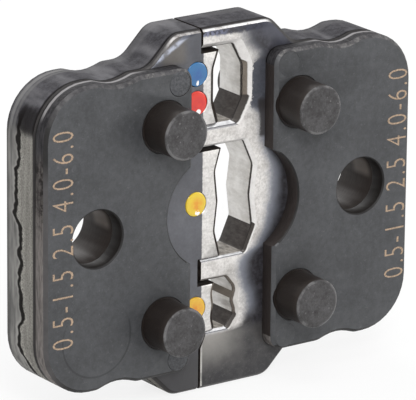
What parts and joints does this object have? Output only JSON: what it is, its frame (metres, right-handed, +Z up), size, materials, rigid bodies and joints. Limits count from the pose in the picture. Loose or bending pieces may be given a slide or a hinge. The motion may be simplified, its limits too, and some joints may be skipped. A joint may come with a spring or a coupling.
{
  "type": "crimp die insert",
  "caption": "Two-part crimp die insert for a hand crimping tool, with interlocking punch and channel halves, cover plates, locating studs and colour-coded nests.",
  "frame": {"origin": "middle of the closed set: midway between the wings' outer edges, between the block's top and bottom, and between the stud ends", "axes": "+X from the punch half to the channel half, the way the halves part; -Y out of the cover plates' face; +Z up the parting line towards the nest with the blue and red marks"},
  "size_m": [0.044, 0.0142, 0.0374],
  "materials": {
    "ground_die_steel": "ground bright round the nests, dark and glossy further out",
    "black_cover": "fine matte black oxide, a little blue",
    "stud_steel": "dark, with plain turned ends",
    "rivet_steel": "ground flush and blackened with the cover",
    "blue_enamel": "glossy enamel",
    "red_enamel": "glossy enamel",
    "yellow_enamel": "glossy enamel",
    "amber_enamel": "glossy enamel"
  },
  "bodies": {
    "left_half": {"left_die_body": "ground_die_steel", "left_cover_plate": "black_cover", "left_upper_stud": "stud_steel", "left_lower_stud": "stud_steel", "left_upper_rivet": "rivet_steel", "left_lower_rivet": "rivet_steel", "blue_mark": "blue_enamel", "red_mark": "red_enamel", "yellow_mark": "yellow_enamel", "amber_mark": "amber_enamel"},
    "right_half": {"right_die_body": "ground_die_steel", "right_cover_plate": "black_cover", "right_upper_stud": "stud_steel", "right_lower_stud": "stud_steel", "right_upper_rivet": "rivet_steel", "right_lower_rivet": "rivet_steel"}
  },
  "joints": [
    {"name": "jaw_slide", "type": "slide", "parent": "left_half", "child": "right_half", "axis": [1, 0, 0], "range_m": [-0.0001, 0.012]}
  ]
}
